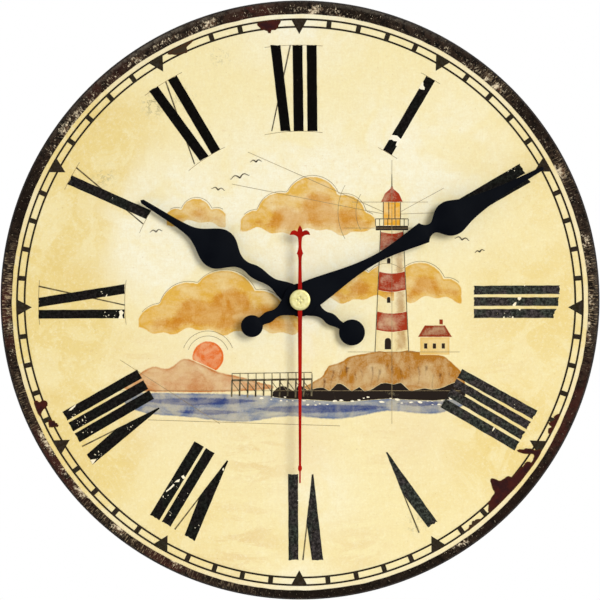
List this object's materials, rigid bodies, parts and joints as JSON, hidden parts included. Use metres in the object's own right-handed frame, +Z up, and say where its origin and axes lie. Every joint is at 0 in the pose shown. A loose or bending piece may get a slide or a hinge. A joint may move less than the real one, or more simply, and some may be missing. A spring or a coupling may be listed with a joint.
{
  "type": "wall clock",
  "caption": "Frameless round wall clock with a nautical printed dial, heart-shaped hands and a battery quartz movement with wheel train, setting knob and hanging loop behind.",
  "frame": {"origin": "on the dial axis, at the rear face of the movement's back cover, which is the plane of the wall", "axes": "+Z up through twelve o'clock, +X to the right as the dial is read, +Y into the wall, so the dial faces -Y"},
  "size_m": [0.3, 0.0334, 0.3],
  "materials": {
    "board": "matte",
    "print": "matte",
    "black_paint": "satin",
    "red_paint": "satin",
    "brass": "satin",
    "cap_brass": "satin",
    "steel": "satin",
    "case_plastic": "matte",
    "knob_plastic": "satin",
    "white_plastic": "satin",
    "rubber": "matte",
    "stator_iron": "satin",
    "magnet": "matte",
    "copper_wire": "gloss",
    "circuit": "satin",
    "resin": "gloss",
    "battery": "satin"
  },
  "bodies": {
    "clock_body": {"dial_board": "board", "dial_print": "print", "gasket": "rubber", "threaded_bush": "brass", "dial_washer": "brass", "dial_nut": "brass", "movement_case": "case_plastic", "back_cover": "case_plastic", "middle_plate": "white_plastic", "stator_left": "stator_iron", "stator_right": "stator_iron", "coil_bobbin": "white_plastic", "coil_winding": "copper_wire", "circuit_board": "circuit", "quartz_crystal": "steel", "chip_blob": "resin", "positive_contact": "steel", "negative_contact": "steel"},
    "hour_hand": {"hour_wheel": "white_plastic", "hour_hand": "black_paint", "hour_hand_collet": "brass"},
    "minute_hand": {"minute_tube": "brass", "clutch_spring": "steel", "cannon_pinion": "white_plastic", "minute_hand": "black_paint", "minute_hand_collet": "brass"},
    "second_hand": {"seconds_wheel": "white_plastic", "seconds_arbor": "steel", "second_hand": "red_paint", "second_hand_tube": "brass", "second_hand_cap": "cap_brass"},
    "rotor": {"rotor_magnet": "magnet", "rotor_pinion": "white_plastic"},
    "intermediate_wheel": {"intermediate_wheel": "white_plastic"},
    "third_wheel": {"third_wheel": "white_plastic"},
    "centre_wheel": {"centre_wheel": "white_plastic"},
    "minute_wheel": {"minute_wheel": "white_plastic"},
    "setting": {"setting_arbor": "white_plastic", "setting_knob": "knob_plastic"},
    "battery": {"battery_cell": "battery"}
  },
  "joints": [
    {"name": "second_hand_turn", "type": "hinge", "parent": "clock_body", "child": "second_hand", "pos_m": [0, 0, 0], "axis": [0, 1, 0], "continuous": true},
    {"name": "minute_hand_turn", "type": "hinge", "parent": "clock_body", "child": "minute_hand", "pos_m": [0, 0, 0], "axis": [0, 1, 0], "continuous": true},
    {"name": "hour_hand_turn", "type": "hinge", "parent": "clock_body", "child": "hour_hand", "pos_m": [0, 0, 0], "axis": [0, 1, 0], "continuous": true},
    {"name": "rotor_turn", "type": "hinge", "parent": "clock_body", "child": "rotor", "pos_m": [0.01491, 0, 0.01085], "axis": [0, 1, 0], "continuous": true},
    {"name": "intermediate_wheel_turn", "type": "hinge", "parent": "clock_body", "child": "intermediate_wheel", "pos_m": [0.0073, 0, 0.0073], "axis": [0, 1, 0], "continuous": true},
    {"name": "third_wheel_turn", "type": "hinge", "parent": "clock_body", "child": "third_wheel", "pos_m": [-0.00721, 0, 0.00721], "axis": [0, 1, 0], "continuous": true},
    {"name": "centre_wheel_turn", "type": "hinge", "parent": "clock_body", "child": "centre_wheel", "pos_m": [0, 0, 0], "axis": [0, 1, 0], "continuous": true},
    {"name": "minute_wheel_turn", "type": "hinge", "parent": "clock_body", "child": "minute_wheel", "pos_m": [-0.012, 0, 0], "axis": [0, 1, 0], "continuous": true},
    {"name": "setting_knob_turn", "type": "hinge", "parent": "clock_body", "child": "setting", "pos_m": [-0.018, 0, 0.01039], "axis": [0, 1, 0], "continuous": true},
    {"name": "battery_lift", "type": "slide", "parent": "clock_body", "child": "battery", "axis": [0, 1, 0], "range_m": [0, 0.022]}
  ],
  "couplings": [
    {"joint": "intermediate_wheel_turn", "follows": "second_hand_turn", "ratio": -5},
    {"joint": "rotor_turn", "follows": "second_hand_turn", "ratio": 30},
    {"joint": "third_wheel_turn", "follows": "second_hand_turn", "ratio": -0.13333},
    {"joint": "centre_wheel_turn", "follows": "second_hand_turn", "ratio": 0.016667},
    {"joint": "minute_wheel_turn", "follows": "minute_hand_turn", "ratio": -0.33333},
    {"joint": "hour_hand_turn", "follows": "minute_hand_turn", "ratio": 0.083333},
    {"joint": "setting_knob_turn", "follows": "minute_hand_turn", "ratio": 1}
  ]
}
